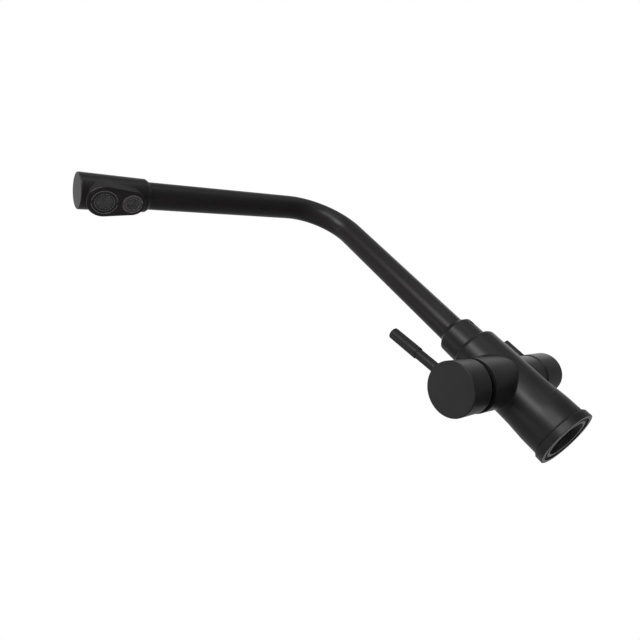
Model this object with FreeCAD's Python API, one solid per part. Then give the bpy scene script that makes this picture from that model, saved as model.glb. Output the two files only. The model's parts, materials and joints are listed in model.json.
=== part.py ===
import FreeCAD, Part
import math
import os

Vector = FreeCAD.Vector

# Kitchen faucet for mixed and filtered water, in millimetres.
# The origin is the centre of the base on the worktop. +Z runs up the body and +X points along the
# axis of the mixer handle. The filtered water tap is on the -X side.

# Body
barrel_radius = 20.2
barrel_foot_radius = 21.05
taper_start = 19.2
taper_end = 32.2
taper_round = 100.0
barrel_top = 88.25
shoulder_round = 3.5
valve_height = 55.45
branch_blend = 1.2
shank_radius = 16.8
shank_foot = 0.4
hollow_radius = 14.6
hollow_top = 27.4

# Base ring and its gasket
ring_height = 5.3
ring_foot_radius = 22.6
ring_top_radius = 22.55
ring_top_round = 0.6
groove_radius = 19.6
groove_depth = 3.0
gasket_play = 0.15
gasket_round = 1.2

# Ports in the ceiling of the hollow base
port_thread_radius = 4.46
port_thread_length = 10.0
stud_thread_radius = 3.4
stud_thread_length = 14.0
mixer_port_x = 6.5
mixer_port_y = 7.0
filter_port_x = -8.0
filter_port_y = 5.0
feed_radius = 2.8
mixed_radius = 3.2
mixed_channel_wall = 0.4
filter_feed_radius = 2.2
filter_feed_drop = 3.0
filter_out_radius = 2.5

# Fits and cuts
running_play = 0.05
lift_play = 0.2
ring_groove_play = 0.2
drill_runout = 0.5
overcut = 1.0
drilled = 0.01

# Swivel joint of the spout
socket_radius = 12.0
socket_depth = 12.0
spigot_radius = 13.5
spigot_height = 16.6
spigot_bore = 9.4
spigot_ring_section = 2.0
spigot_ring_heights = (3.0, 8.0)
lock_height = 13.5
lock_groove_floor = 12.1
slip_thickness = 0.6
slip_ring_inset = 0.1
collar_radius = 15.7
collar_bore = 13.6
collar_shoulder_rise = 17.6
collar_rise = 21.9
collar_lip = 0.45
spigot_headroom = 0.6
set_screw_radius = 2.0
set_screw_tip = 1.6
set_screw_azimuth = 104.0
set_screw_sink = 0.6
set_screw_key = 1.2

# Filtered water nipple in the middle of the swivel joint
nipple_radius = 4.4
nipple_head_radius = 5.4
nipple_root_depth = 5.8
nipple_seat_depth = 2.0
nipple_neck_rise = 1.0
nipple_rise = 8.0
nipple_ring_drop = 4.0
nipple_ring_section = 1.3

# Spout
arm_height = 303.65
bend_radius = 47.9
tube_radius = 11.0
tube_wall = 1.0
spout_rest_turn = -4.61
inner_tube_radius = 3.175
inner_tube_wall = 1.1
inner_tube_gap = 0.4

# Spout head
head_radius = 13.9
head_rear_radius = 13.2
head_rear = 184.7
head_cone = 2.5
head_tip = 236.1
head_tip_round = 0.9
head_socket_depth = 8.5
head_chamber_radius = 10.2
head_front_wall = 5.2
pad_drop = 16.0
pad_root_drop = 1.0
pad_flare = 0.8
pad_edge_round = 1.3
main_outlet_x = 220.3
filter_outlet_x = 200.1
main_pad_radius = 12.5
filter_pad_radius = 10.1
outlet_pillar_radius = 7.0
outlet_pillar_rise = 5.0

# Aerators
main_flange_radius = 9.45
main_thread_radius = 8.8
main_insert_radius = 7.3
main_passage_radius = 6.6
filter_flange_radius = 7.46
filter_thread_radius = 6.4
filter_insert_radius = 5.2
filter_passage_radius = 4.4
flange_play = 0.06
flange_thickness = 1.0
flange_proud = 0.3
aerator_thread = 3.0
washer_thickness = 1.2
lip_width = 0.5
insert_rim = 0.7
screen_depth = 0.6
screen_thickness = 0.9
screen_cell = 2.0
screen_web = 0.35
key_notch_width = 2.4
key_notch_depth = 0.9

# Mixer branch and its cartridge
mixer_branch_radius = 18.6
mixer_branch_end = 42.0
cartridge_floor = 12.0
cartridge_radius = 14.0
cartridge_play = 0.1
cartridge_shoulder = 33.0
mixer_seal_drop = 5.0
mixed_port_rise = 7.0
seal_thickness = 1.0
seal_width = 0.8
cartridge_base_thickness = 3.0
disc_thickness = 3.0
disc_film = 0.02
cavity_radius = 12.1
cavity_end = 32.4
moving_disc_radius = 8.6
mixing_hollow_half_x = 4.7
mixing_hollow_half_y = 3.9
mixing_hollow_roof = 1.2
carrier_height = 5.2
neck_radius = 10.6
neck_end = 39.2
rotor_neck_radius = 8.45
rotor_end = 40.4
nut_thread_radius = 16.0
nut_grip_radius = 13.0
nut_rise = 1.4
nut_bore_play = 0.2
nut_notch = 3.0

# Mixer lever mechanism
handle_rest_turn = 7.25
handle_tilt_range = 16.0
pivot_distance = 37.0
pivot_pin_radius = 1.5
pivot_pin_half = 7.8
stem_half = 3.5
stem_side_play = 0.15
stem_swing_play = 2.1
stem_block_start = 31.5
stem_end = 54.0
stem_rod_radius = 1.8
ball_distance = 25.5
ball_radius = 2.1
ball_play = 0.2

# Mixer cap and lever
cap_radius = 18.3
cap_rear_radius = 17.95
cap_wall = 2.2
cap_face = 67.0
cap_edge_round = 0.8
cap_gap_at_lever = 0.45
cap_stop_gap = 0.6
cap_cavity_end = 51.0
cap_boss_radius = 8.0
cap_boss_start = 46.0
stem_socket_play = 0.4
lever_distance = 56.6
lever_stud_radius = 2.5
lever_stud_start = 11.6
lever_seat = 17.2
lever_rod_radius = 3.75
lever_grip_start = 37.8
lever_grip_radius = 4.35
lever_tip = 65.1
lever_edge = 0.6
lever_spigot_radius = 2.4
lever_spigot_length = 9.0
cap_screw_radius = 2.0
cap_screw_distance = 48.6
cap_screw_sink = 0.3

# Filtered water tap
filter_branch_radius = 15.1
filter_branch_end = 36.2
filter_floor = 16.0
filter_bore = 9.0
filter_seal_thickness = 1.4
filter_seal_bore = 5.7
filter_disc_radius = 6.9
filter_disc_thickness = 2.6
filter_window_radius = 1.8
filter_window_offset = 4.2
spindle_flange_thickness = 4.0
side_window_height = 2.4
side_window_width = 5.0
filter_gallery_depth = 1.0
spindle_radius = 4.2
spindle_rise = 14.0
spindle_tail_rise = 5.0
spindle_tail_radius = 3.9
spindle_flat = 3.1
spindle_ring_section = 0.9
spindle_ring_depths = (5.5, 1.5)
headwork_washer_thickness = 0.8
headwork_washer_width = 2.0
hex_half_width = 9.5
hex_rise = 4.5
headwork_nose_radius = 7.0
headwork_nose_rise = 6.5
clip_rise = 6.9
clip_thickness = 0.7
clip_groove_radius = 3.4
clip_radius = 5.2
clip_gap = 1.6

# Filtered water knob
knob_radius = 15.72
knob_wall = 3.2
knob_gap = 0.4
knob_face = 61.4
knob_edge_round = 0.8
knob_cavity_rise = 8.5
knob_screw_rise = 11.5
knob_screw_radius = 2.0
knob_screw_length = 5.6
filter_lever_distance = 54.8
filter_lever_radius = 3.2
filter_lever_tip = 36.4
filter_lever_stud_radius = 2.0
filter_lever_stud_start = 9.6
filter_lever_seat = 14.7

# Sizes that follow from the ones above
socket_floor = barrel_top - socket_depth
collar_shoulder = barrel_top + collar_shoulder_rise
collar_top = barrel_top + collar_rise
nipple_root = socket_floor - nipple_root_depth
nipple_seat = socket_floor - nipple_seat_depth
nipple_neck = socket_floor + nipple_neck_rise
nipple_top = socket_floor + nipple_rise
nipple_ring_height = nipple_top - nipple_ring_drop
slip_top = barrel_top + slip_thickness
collar_foot = slip_top + running_play
spigot_top = barrel_top + spigot_height
tube_foot = spigot_top + spigot_headroom
lock_level = barrel_top + lock_height
tube_end = head_rear + head_socket_depth
pad_level = arm_height - pad_drop
aerator_seat = flange_thickness + aerator_thread + washer_thickness
full_tilt = math.radians(handle_tilt_range)
cap_reach_tipped = mixer_branch_end + cap_stop_gap - pivot_distance + cap_rear_radius * math.sin(full_tilt)
cap_gap_opposite = pivot_distance + cap_reach_tipped / math.cos(full_tilt) - mixer_branch_end
cap_slope = (cap_gap_opposite - cap_gap_at_lever) / (2 * cap_rear_radius)
cap_cavity_radius = cap_rear_radius - cap_wall
nut_face = mixer_branch_end + nut_rise
spindle_end = filter_branch_end + spindle_rise
spindle_tail_start = filter_branch_end + spindle_tail_rise
spindle_ring_places = [filter_branch_end - depth for depth in spindle_ring_depths]
hex_end = filter_branch_end + hex_rise
headwork_nose_end = filter_branch_end + headwork_nose_rise
clip_start = filter_branch_end + clip_rise
knob_rear = filter_branch_end + knob_gap
knob_cavity_end = filter_branch_end + knob_cavity_rise
knob_screw_distance = filter_branch_end + knob_screw_rise
mixed_port_x = nipple_radius + mixed_radius + mixed_channel_wall


def outline_face(corners, to_space):
    """Flat face inside a closed outline. A corner is (a, b), or (a, b, radius) where it is round."""
    spots = [to_space(corner[0], corner[1]) for corner in corners]
    stretches = []
    for index, corner in enumerate(corners):
        here = spots[index]
        if len(corner) < 3:
            stretches.append((here, None, here))
            continue
        back = (spots[index - 1] - here).normalize()
        onward = (spots[(index + 1) % len(spots)] - here).normalize()
        half_angle = back.getAngle(onward) / 2
        run = corner[2] / math.tan(half_angle)
        inward = (back + onward).normalize()
        middle = here + inward * (corner[2] / math.sin(half_angle) - corner[2])
        stretches.append((here + back * run, middle, here + onward * run))
    edges = []
    for index, (start, middle, end) in enumerate(stretches):
        if middle is not None:
            edges.append(Part.Arc(start, middle, end).toShape())
        following = stretches[(index + 1) % len(stretches)][0]
        if end.distanceToPoint(following) > 1e-6:
            edges.append(Part.LineSegment(end, following).toShape())
    return Part.Face(Part.Wire(edges))


def turned(corners):
    """Solid of revolution about Z from (radius, height) corners."""
    face = outline_face(corners, lambda radius, height: Vector(radius, 0, height))
    return face.revolve(Vector(0, 0, 0), Vector(0, 0, 1), 360)


def rod(radius, low, high, x=0.0, y=0.0):
    """Upright round bar or drilling."""
    return Part.makeCylinder(radius, high - low, Vector(x, y, low))


def sideways_rod(radius, start, end, direction, height):
    """Round bar or drilling square to Z, from start to end along a direction from the axis."""
    along = Vector(direction[0], direction[1], 0).normalize()
    foot = along * start + Vector(0, 0, height)
    return Part.makeCylinder(radius, end - start, foot, along)


def prism(points, low, high):
    """Upright bar on a polygon of (x, y) corners."""
    face = outline_face(points, lambda x, y: Vector(x, y, low))
    return face.extrude(Vector(0, 0, high - low))


def bar(half_x, half_y, low, high):
    """Upright rectangular bar centred on Z."""
    return Part.makeBox(2 * half_x, 2 * half_y, high - low, Vector(-half_x, -half_y, low))


def round_ring(middle_radius, section, height):
    """Round-section ring about Z."""
    return Part.makeTorus(middle_radius, section / 2, Vector(0, 0, height))


def grooves_up(radius, grooves):
    """Corners up a turned side of the given radius, with (middle, half width, floor) grooves."""
    corners = []
    for middle, half_width, floor in grooves:
        corners.append((radius, middle - half_width))
        corners.append((floor, middle - half_width))
        corners.append((floor, middle + half_width))
        corners.append((radius, middle + half_width))
    return corners


def hexagon(half_width):
    """Corners of a hexagon with the given half width across its flats."""
    corner = half_width / math.cos(math.pi / 6)
    angles = [math.radians(60 * step) for step in range(6)]
    return [(corner * math.cos(angle), corner * math.sin(angle)) for angle in angles]


def laid_out(shape, height, side=1, turn=0.0):
    """Lays a shape built along Z on a level axis: its Z runs out along X and its X points up."""
    axes = FreeCAD.Rotation(Vector(0, 0, 1), Vector(0, -side, 0), Vector(side, 0, 0), "XYZ")
    turning = FreeCAD.Rotation(Vector(1, 0, 0), turn)
    placed = shape.copy()
    laying = FreeCAD.Placement(Vector(0, 0, height), turning * axes)
    placed.Placement = laying.multiply(shape.Placement)
    return placed


def mixer_side(shape, turn=0.0):
    return laid_out(shape, valve_height, 1, turn)


def filter_side(shape):
    return laid_out(shape, valve_height, -1)


def spout_turned(shape):
    """Turns a spout piece, built with its arm over +X, to where the spout points at rest."""
    placed = shape.copy()
    placed.rotate(Vector(0, 0, 0), Vector(0, 0, 1), spout_rest_turn)
    return placed


# Body

def body_shell():
    """Turned barrel with its hollow base and the socket for the spigot, and the two branches."""
    barrel = turned([
        (hollow_radius, shank_foot),
        (shank_radius, shank_foot),
        (shank_radius, ring_height),
        (barrel_foot_radius, ring_height),
        (barrel_foot_radius, taper_start, taper_round),
        (barrel_radius, taper_end, taper_round),
        (barrel_radius, barrel_top, shoulder_round),
        (socket_radius, barrel_top),
        (socket_radius, socket_floor),
        (0, socket_floor),
        (0, hollow_top),
        (hollow_radius, hollow_top),
    ])
    mixer_branch = mixer_side(rod(mixer_branch_radius, 0, mixer_branch_end))
    filter_branch = filter_side(rod(filter_branch_radius, 0, filter_branch_end))
    joined = barrel.fuse([mixer_branch, filter_branch]).removeSplitter()
    return joined.makeFillet(branch_blend, [edge for edge in joined.Edges if is_branch_seam(edge)])


def is_branch_seam(edge):
    """True for the curved edges where a branch grows out of the barrel."""
    box = edge.BoundBox
    near_valves = box.ZMin > hollow_top and box.ZMax < socket_floor
    reach = max(abs(box.XMin), abs(box.XMax))
    return near_valves and box.XLength > drilled and reach < barrel_radius + drilled


def drilling(radius, start, end):
    """Round channel between two points, run on by its radius so that it breaks through."""
    return Part.makeCylinder(radius, start.distanceToPoint(end) + radius, start, end - start)


def mixer_ports():
    return [(mixer_port_x, -mixer_port_y), (mixer_port_x, mixer_port_y)]


def body_waterways():
    """Threaded ports, drilled channels and valve chambers inside the body."""
    cuts = []
    feed_top = valve_height - mixer_seal_drop
    port_top = hollow_top + port_thread_length
    for x, y in mixer_ports():
        cuts.append(rod(port_thread_radius, hollow_top, port_top, x, y))
        cuts.append(rod(feed_radius, port_top, feed_top, x, y))
        turn_in = Vector(x, y, feed_top)
        cuts.append(Part.makeCylinder(feed_radius, cartridge_floor - x, turn_in, Vector(1, 0, 0)))
    filter_feed_top = valve_height - filter_feed_drop
    filter_spot = (filter_port_x, -filter_port_y)
    cuts.append(rod(port_thread_radius, hollow_top, port_top, *filter_spot))
    cuts.append(rod(filter_feed_radius, port_top, filter_feed_top, *filter_spot))
    feed_turn = Vector(*filter_spot, filter_feed_top)
    cuts.append(drilling(filter_feed_radius, feed_turn, Vector(-filter_floor, 0, filter_feed_top)))
    stud_top = hollow_top + stud_thread_length
    cuts.append(rod(stud_thread_radius, hollow_top, stud_top, filter_port_x, filter_port_y))
    outlet_turn = Vector(0, 0, nipple_root - filter_out_radius)
    gallery_top = Vector(-(gallery_start() + gallery_end()) / 2, 0, valve_height + filter_bore)
    cuts.append(drilling(filter_out_radius, outlet_turn, gallery_top))
    cuts.append(rod(filter_out_radius, outlet_turn.z - filter_out_radius, nipple_root))
    cuts.append(rod(nipple_radius, nipple_root, socket_floor))
    mixed_level = valve_height + mixed_port_rise
    cuts.append(rod(mixed_radius, mixed_level, socket_floor, mixed_port_x))
    cuts.append(Part.makeCylinder(
        mixed_radius, cartridge_floor - mixed_port_x, Vector(mixed_port_x, 0, mixed_level), Vector(1, 0, 0)
    ))
    chamber = turned([
        (0, cartridge_floor),
        (cartridge_radius + cartridge_play, cartridge_floor),
        (cartridge_radius + cartridge_play, cartridge_shoulder),
        (nut_thread_radius, cartridge_shoulder),
        (nut_thread_radius, mixer_branch_end),
        (0, mixer_branch_end),
    ])
    cuts.append(mixer_side(chamber))
    cuts.append(filter_side(rod(filter_bore, filter_floor, filter_branch_end)))
    cuts.append(filter_side(rod(filter_bore + filter_gallery_depth, gallery_start(), gallery_end())))
    return cuts


def mixer_body():
    return body_shell().cut(body_waterways())


def base_ring():
    return turned([
        (shank_radius, ring_height),
        (shank_radius, groove_depth),
        (groove_radius, groove_depth),
        (groove_radius, 0),
        (ring_foot_radius, 0, 0.3),
        (ring_top_radius, ring_height, ring_top_round),
    ])


def base_gasket():
    inner = shank_radius + gasket_play
    outer = groove_radius - gasket_play
    return turned([
        (inner, gasket_play, gasket_round),
        (outer, gasket_play, gasket_round),
        (outer, groove_depth),
        (inner, groove_depth),
    ])


# Swivel joint

def spigot_ring_floor():
    return collar_bore - running_play / 2 - spigot_ring_section


def spout_spigot():
    half_ring = spigot_ring_section / 2 + ring_groove_play
    grooves = [(barrel_top + height, half_ring, spigot_ring_floor()) for height in spigot_ring_heights]
    grooves.append((lock_level, set_screw_tip + lift_play, lock_groove_floor))
    return turned(
        [(spigot_bore, socket_floor), (socket_radius, socket_floor), (socket_radius, barrel_top)]
        + [(spigot_radius, barrel_top)]
        + grooves_up(spigot_radius, grooves)
        + [(spigot_radius, spigot_top, 0.4), (spigot_bore, spigot_top)]
    )


def spigot_o_rings():
    middle = spigot_ring_floor() + spigot_ring_section / 2
    rings = [round_ring(middle, spigot_ring_section, barrel_top + height) for height in spigot_ring_heights]
    return Part.makeCompound(rings)


def slip_ring():
    inner = spigot_radius + running_play
    outer = collar_radius - slip_ring_inset
    return turned([(inner, barrel_top), (outer, barrel_top), (outer, slip_top), (inner, slip_top)])


def filter_nipple():
    groove = (nipple_ring_height, nipple_ring_section / 2 + ring_groove_play, nipple_ring_floor())
    inner = inner_tube_radius + running_play
    return turned(
        [(filter_out_radius, nipple_root), (nipple_radius, nipple_root), (nipple_radius, nipple_neck)]
        + [(nipple_head_radius, nipple_neck + nipple_head_radius - nipple_radius)]
        + [(nipple_head_radius, nipple_top), (inner, nipple_top)]
        + grooves_up(inner, [groove])[::-1]
        + [(inner, nipple_seat), (filter_out_radius, nipple_seat)]
    )


def nipple_ring_floor():
    return inner_tube_radius + running_play / 2 + nipple_ring_section


def nipple_o_ring():
    middle = nipple_ring_floor() - nipple_ring_section / 2
    return round_ring(middle, nipple_ring_section, nipple_ring_height)


# Spout

def set_screw_direction():
    angle = math.radians(set_screw_azimuth)
    return (math.cos(angle), math.sin(angle))


def spout_collar():
    sleeve = turned([
        (collar_bore, collar_foot),
        (collar_radius, collar_foot, 0.3),
        (collar_radius, collar_shoulder, 1.2),
        (tube_radius + collar_lip, collar_top),
        (tube_radius, collar_top),
        (tube_radius, tube_foot),
        (collar_bore, tube_foot),
    ])
    outside = collar_radius + overcut
    hole = sideways_rod(set_screw_radius, spigot_radius, outside, set_screw_direction(), lock_level)
    return spout_turned(sleeve.cut(hole))


def collar_set_screw():
    """Socket screw whose plain tip runs in the spigot's lock groove."""
    tip_end = lock_groove_floor + lift_play
    head_end = collar_radius - set_screw_sink
    screw = turned([
        (0, tip_end),
        (set_screw_tip, tip_end),
        (set_screw_tip, collar_bore + running_play),
        (set_screw_radius, collar_bore + running_play),
        (set_screw_radius, head_end, 0.2),
        (0, head_end),
    ])
    screw = screw.cut(prism(hexagon(set_screw_radius / 2), head_end - set_screw_key, head_end + overcut))
    placed = laid_out(screw, lock_level)
    placed.rotate(Vector(0, 0, 0), Vector(0, 0, 1), set_screw_azimuth)
    return spout_turned(placed)


def spout_path(foot, end):
    """Straight up, round the bend and level along the arm."""
    bend_low = Vector(0, 0, arm_height - bend_radius)
    bend_high = Vector(bend_radius, 0, arm_height)
    part_way = bend_radius * (1 - math.cos(math.pi / 4))
    middle = Vector(part_way, 0, arm_height - part_way)
    return Part.Wire([
        Part.LineSegment(Vector(0, 0, foot), bend_low).toShape(),
        Part.Arc(bend_low, middle, bend_high).toShape(),
        Part.LineSegment(bend_high, Vector(end, 0, arm_height)).toShape(),
    ])


def bent_tube(radius, wall, foot, end):
    outer = Part.Wire(Part.makeCircle(radius, Vector(0, 0, foot)))
    inner = Part.Wire(Part.makeCircle(radius - wall, Vector(0, 0, foot)))
    path = spout_path(foot, end)
    solid = path.makePipeShell([outer], True, False)
    bore = path.makePipeShell([inner], True, False)
    return solid.cut(bore)


def spout_tube():
    return spout_turned(bent_tube(tube_radius, tube_wall, tube_foot, tube_end))


def inner_tube_end():
    return filter_outlet_x - filter_passage_radius


def filtered_water_tube():
    foot = nipple_seat + inner_tube_gap
    return spout_turned(bent_tube(inner_tube_radius, inner_tube_wall, foot, inner_tube_end()))


# Spout head

def pad_outline(level, widening):
    """Outline round both outlets: two arcs joined by their outer tangents."""
    main_radius = main_pad_radius + widening
    filter_radius = filter_pad_radius + widening
    lean = math.acos((filter_radius - main_radius) / (main_outlet_x - filter_outlet_x))

    def spot(centre, radius, angle):
        return Vector(centre + radius * math.cos(angle), radius * math.sin(angle), level)

    main_left = spot(main_outlet_x, main_radius, lean)
    main_right = spot(main_outlet_x, main_radius, -lean)
    filter_left = spot(filter_outlet_x, filter_radius, lean)
    filter_right = spot(filter_outlet_x, filter_radius, -lean)
    return Part.Wire([
        Part.Arc(main_right, spot(main_outlet_x, main_radius, 0), main_left).toShape(),
        Part.LineSegment(main_left, filter_left).toShape(),
        Part.Arc(filter_left, spot(filter_outlet_x, filter_radius, math.pi), filter_right).toShape(),
        Part.LineSegment(filter_right, main_right).toShape(),
    ])


def head_shell():
    """Round head with the flared pad that carries both outlets below it."""
    barrel = laid_out(turned([
        (0, head_rear),
        (tube_radius + collar_lip, head_rear),
        (head_rear_radius, head_rear + head_cone, 0.8),
        (head_radius, head_tip, head_tip_round),
        (0, head_tip),
    ]), arm_height)
    low = pad_outline(pad_level, 0)
    high = pad_outline(arm_height - pad_root_drop, pad_flare)
    pad = Part.makeLoft([low, high], True, True)
    foot_edges = [edge for edge in pad.Edges if edge.BoundBox.ZMax < pad_level + drilled]
    return barrel.fuse(pad.makeFillet(pad_edge_round, foot_edges))


def outlet_pocket(x, flange_radius, thread_radius, passage_radius, top):
    """Counterbore, thread and passage of an outlet, upwards from the pad."""
    seat = pad_level + aerator_seat
    recess = rod(flange_radius + flange_play, pad_level - overcut, pad_level + flange_thickness, x)
    thread = rod(thread_radius, pad_level, seat, x)
    passage = rod(passage_radius, seat - drilled, top, x)
    return [recess, thread, passage]


def spout_head():
    socket = laid_out(rod(tube_radius, head_rear, tube_end), arm_height)
    chamber = laid_out(rod(head_chamber_radius, tube_end, head_tip - head_front_wall), arm_height)
    pillar = rod(outlet_pillar_radius, pad_level, arm_height + head_radius, filter_outlet_x)
    pillar_top = arm_height + outlet_pillar_rise
    cuts = [socket, chamber.cut(pillar)]
    cuts.append(laid_out(rod(inner_tube_radius, tube_end, filter_outlet_x), arm_height))
    cuts += outlet_pocket(
        main_outlet_x, main_flange_radius, main_thread_radius, main_passage_radius, arm_height
    )
    cuts += outlet_pocket(
        filter_outlet_x, filter_flange_radius, filter_thread_radius, filter_passage_radius, pillar_top
    )
    return spout_turned(head_shell().cut(cuts))


# Aerators

def aerator_ring(x, flange_radius, thread_radius, insert_radius):
    """Flanged screw ring with a raised outer lip, notched for a coin key."""
    top = flange_thickness + aerator_thread
    ring = turned([
        (insert_radius, flange_proud),
        (flange_radius - lip_width, flange_proud),
        (flange_radius - lip_width, -flange_proud, 0.1),
        (flange_radius, -flange_proud, 0.15),
        (flange_radius, flange_thickness),
        (thread_radius, flange_thickness),
        (thread_radius, top),
        (insert_radius, top),
    ])
    notch = bar(flange_radius + overcut, key_notch_width / 2, -overcut, key_notch_depth)
    keep = rod(flange_radius - lip_width - drilled, -2 * overcut, top)
    ring = ring.cut(notch.cut(keep))
    ring.translate(Vector(x, 0, pad_level))
    return spout_turned(ring)


def honeycomb(radius, low, high):
    """Disc with a close pattern of hexagonal openings."""
    disc = rod(radius, low, high)
    pitch_x = screen_cell + screen_web
    pitch_y = pitch_x * math.sqrt(3) / 2
    reach = int(radius / pitch_y) + 1
    openings = []
    for row in range(-reach, reach + 1):
        for column in range(-reach - 1, reach + 2):
            x = (column + (row % 2) / 2) * pitch_x
            y = row * pitch_y
            if math.hypot(x, y) + screen_cell / math.sqrt(3) < radius:
                cell = prism(hexagon(screen_cell / 2), low - overcut, high + overcut)
                cell.rotate(Vector(0, 0, 0), Vector(0, 0, 1), 30)
                cell.translate(Vector(x, y, 0))
                openings.append(cell)
    return disc.cut(openings)


def aerator_insert(x, insert_radius):
    """Cup that holds the outlet screen, with a fine rim round it."""
    outer = insert_radius
    inner = insert_radius - insert_rim
    top = flange_thickness + aerator_thread
    cup = turned([
        (inner, 0),
        (outer - 0.3, 0, 0.12),
        (outer, flange_proud, 0.1),
        (outer, top),
        (inner, top),
    ])
    screen = honeycomb(inner, screen_depth, screen_depth + screen_thickness)
    insert = cup.fuse(screen)
    insert.translate(Vector(x, 0, pad_level))
    return spout_turned(insert)


def aerator_washer(x, thread_radius, passage_radius):
    low = pad_level + flange_thickness + aerator_thread
    washer = turned([
        (passage_radius, low),
        (thread_radius, low),
        (thread_radius, low + washer_thickness),
        (passage_radius, low + washer_thickness),
    ])
    washer.translate(Vector(x, 0, 0))
    return spout_turned(washer)


# Mixer cartridge, built along its axis with the lever towards local +X

def cartridge_ports():
    """Places of the hot, cold and mixed openings on the cartridge's face, with their radii."""
    feeds = [(-mixer_seal_drop, side * mixer_port_y, feed_radius) for side in (-1, 1)]
    return feeds + [(mixed_port_rise, 0, mixed_radius)]


def port_drills(low, high):
    return [rod(radius, low, high, x, y) for x, y, radius in cartridge_ports()]


def disc_start():
    return cartridge_floor + seal_thickness + cartridge_base_thickness


def cartridge_seals():
    seals = []
    top = cartridge_floor + seal_thickness
    for x, y, radius in cartridge_ports():
        outer = rod(radius + seal_width, cartridge_floor, top, x, y)
        seals.append(mixer_side(outer.cut(rod(radius, cartridge_floor, top, x, y))))
    return Part.makeCompound(seals)


def cartridge_base():
    low = cartridge_floor + seal_thickness
    plate = rod(cartridge_radius, low, disc_start())
    return mixer_side(plate.cut(port_drills(low, disc_start())))


def fixed_disc():
    top = disc_start() + disc_thickness
    plate = rod(cavity_radius - cartridge_play, disc_start(), top)
    return mixer_side(plate.cut(port_drills(disc_start(), top)))


def cartridge_shell():
    return mixer_side(turned([
        (cavity_radius, disc_start()),
        (cartridge_radius, disc_start()),
        (cartridge_radius, cartridge_shoulder),
        (neck_radius, cartridge_shoulder),
        (neck_radius, neck_end, 0.4),
        (rotor_neck_radius + running_play, neck_end),
        (rotor_neck_radius + running_play, cavity_end),
        (cavity_radius, cavity_end),
    ]))


def cartridge_nut():
    """Threaded ring that clamps the cartridge's shoulder, with four notches for its key."""
    bore = neck_radius + nut_bore_play
    ring = turned([
        (bore, cartridge_shoulder),
        (nut_thread_radius, cartridge_shoulder),
        (nut_thread_radius, mixer_branch_end - nut_bore_play),
        (nut_grip_radius, mixer_branch_end - nut_bore_play),
        (nut_grip_radius, nut_face, 0.4),
        (bore, nut_face),
    ])
    low = mixer_branch_end - nut_bore_play
    slot = bar(nut_grip_radius + overcut, nut_notch / 2, low, nut_face + overcut)
    cross_slot = bar(nut_notch / 2, nut_grip_radius + overcut, low, nut_face + overcut)
    return mixer_side(ring.cut([slot, cross_slot]))


def moving_disc_start():
    return disc_start() + disc_thickness + disc_film


def carrier_start():
    return moving_disc_start() + disc_thickness


def carrier_end():
    return carrier_start() + carrier_height


def moving_disc():
    """Ceramic disc with the mixing hollow that joins the ports below it."""
    plate = rod(moving_disc_radius, moving_disc_start(), carrier_start())
    roof = carrier_start() - mixing_hollow_roof
    hollow = bar(mixing_hollow_half_x, mixing_hollow_half_y, moving_disc_start(), roof)
    return mixer_side(plate.cut(hollow), handle_rest_turn)


def disc_carrier():
    """Slider above the moving disc, with the socket that the ball of the stem pushes."""
    block = rod(moving_disc_radius, carrier_start(), carrier_end())
    bore = ball_radius + ball_play
    socket = turned([
        (0, ball_distance - bore),
        (bore, ball_distance - bore, 0.8),
        (bore, ball_distance + 0.4),
        (bore + 0.9, carrier_end()),
        (0, carrier_end()),
    ])
    return mixer_side(block.cut(socket), handle_rest_turn)


def cartridge_rotor():
    """Turning carrier with the slot that the stem swings in and the bore of its pivot pin."""
    foot = carrier_end() + lift_play
    solid = turned([
        (0, foot),
        (cavity_radius - cartridge_play, foot),
        (cavity_radius - cartridge_play, cavity_end - cartridge_play),
        (rotor_neck_radius, cavity_end - cartridge_play),
        (rotor_neck_radius, rotor_end, 0.3),
        (0, rotor_end),
    ])
    slot = bar(stem_half + stem_swing_play, stem_half + stem_side_play, foot, rotor_end)
    return mixer_side(solid.cut([slot, pivot_bar(pivot_pin_radius, rotor_neck_radius)]), handle_rest_turn)


def pivot_bar(radius, half_length):
    foot = Vector(0, -half_length, pivot_distance)
    return Part.makeCylinder(radius, 2 * half_length, foot, Vector(0, 1, 0))


def pivot_pin():
    return mixer_side(pivot_bar(pivot_pin_radius, pivot_pin_half), handle_rest_turn)


def cartridge_stem():
    """Square stem on the pivot pin, with a ball at its inner end."""
    block = bar(stem_half, stem_half, stem_block_start, stem_end)
    neck = rod(stem_rod_radius, ball_distance, stem_block_start)
    ball = Part.makeSphere(ball_radius, Vector(0, 0, ball_distance))
    stem = block.fuse([neck, ball]).cut(pivot_bar(pivot_pin_radius + running_play, stem_half + overcut))
    return mixer_side(stem, handle_rest_turn)


# Mixer cap and lever

def cap_rear_cut():
    """Wedge that leaves the cap's rear edge leaning, so that the lever can tip outwards."""
    wide = cap_radius + overcut
    at_lever = mixer_branch_end + cap_gap_at_lever - cap_slope * overcut
    opposite = mixer_branch_end + cap_gap_opposite + cap_slope * overcut
    face = outline_face(
        [(wide, 0), (wide, at_lever), (-wide, opposite), (-wide, 0)],
        lambda x, z: Vector(x, -wide, z),
    )
    return face.extrude(Vector(0, 2 * wide, 0))


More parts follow.
